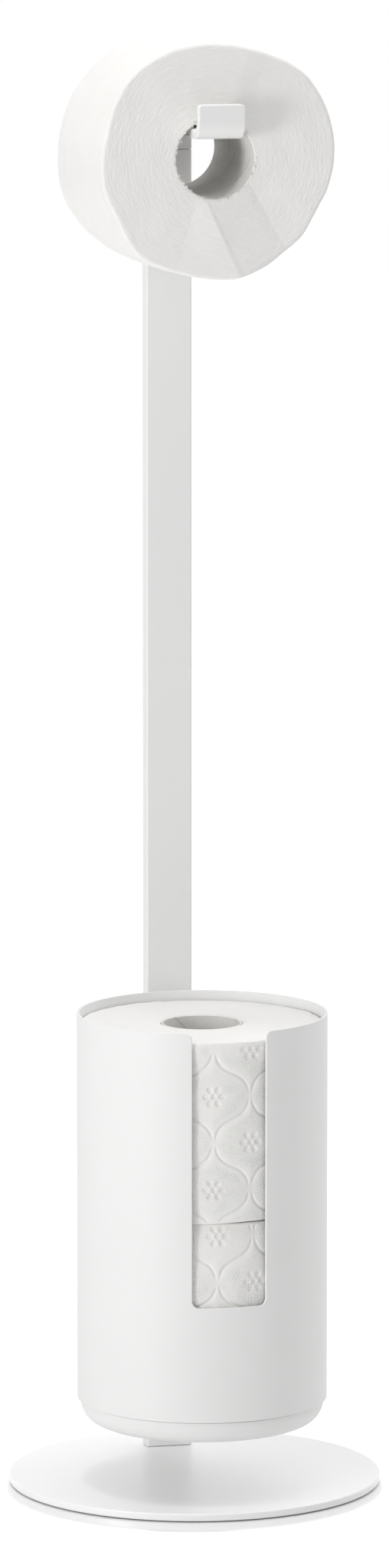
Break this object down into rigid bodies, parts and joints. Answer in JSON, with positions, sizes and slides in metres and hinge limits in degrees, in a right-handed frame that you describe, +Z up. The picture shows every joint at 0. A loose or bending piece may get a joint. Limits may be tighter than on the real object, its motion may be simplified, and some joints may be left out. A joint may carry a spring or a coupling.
{
  "type": "toilet roll holder",
  "caption": "Free-standing toilet roll holder: round base plate, flat mast, strip arm with a turned-up lip for one roll, and a slotted canister that stores spare rolls.",
  "frame": {"origin": "middle of the base pad's underside, on the floor, which is the bottom centre of the whole part's box", "axes": "+Z up along the mast, -Y towards the front (the arm's lip and the canister's slot), +X to the right seen from the front"},
  "size_m": [0.2, 0.2, 0.777],
  "materials": {
    "powder_white": "fine matt powder coat",
    "pad_rubber": "matt",
    "screw_steel": "plain zinc",
    "insert_steel": "yellow zinc",
    "spacer_plastic": "moulded, matt",
    "soft_paper": "soft creped tissue",
    "embossed_paper": "quilted and embossed tissue",
    "core_card": "grey wound board"
  },
  "bodies": {
    "stand": {"base_plate": "powder_white", "base_pad": "pad_rubber", "base_screw_left": "screw_steel", "base_screw_right": "screw_steel", "mast_tube": "powder_white", "mast_foot_plug": "screw_steel", "hook_arm": "powder_white", "hook_screw_upper": "screw_steel", "hook_screw_lower": "screw_steel", "canister_shell": "powder_white", "canister_cap": "powder_white", "canister_floor": "powder_white", "canister_spacer_upper": "spacer_plastic", "canister_spacer_lower": "spacer_plastic", "canister_screw_upper": "screw_steel", "canister_screw_lower": "screw_steel", "rivet_nut_upper": "insert_steel", "rivet_nut_lower": "insert_steel"},
    "hanging_roll": {"hanging_roll_paper": "soft_paper", "hanging_roll_core": "core_card"},
    "lower_spare_roll": {"lower_roll_paper": "embossed_paper", "lower_roll_core": "core_card"},
    "upper_spare_roll": {"upper_roll_paper": "embossed_paper", "upper_roll_core": "core_card"}
  },
  "joints": [
    {"name": "hanging_roll_spin", "type": "hinge", "parent": "stand", "child": "hanging_roll", "pos_m": [0, 0.0005, 0.71641], "axis": [0, 1, 0], "continuous": true},
    {"name": "lower_roll_lift", "type": "slide", "parent": "stand", "child": "lower_spare_roll", "axis": [0, 0, 1], "range_m": [0, 0.205]},
    {"name": "upper_roll_lift", "type": "slide", "parent": "lower_spare_roll", "child": "upper_spare_roll", "axis": [0, 0, 1], "range_m": [0, 0.11]}
  ]
}
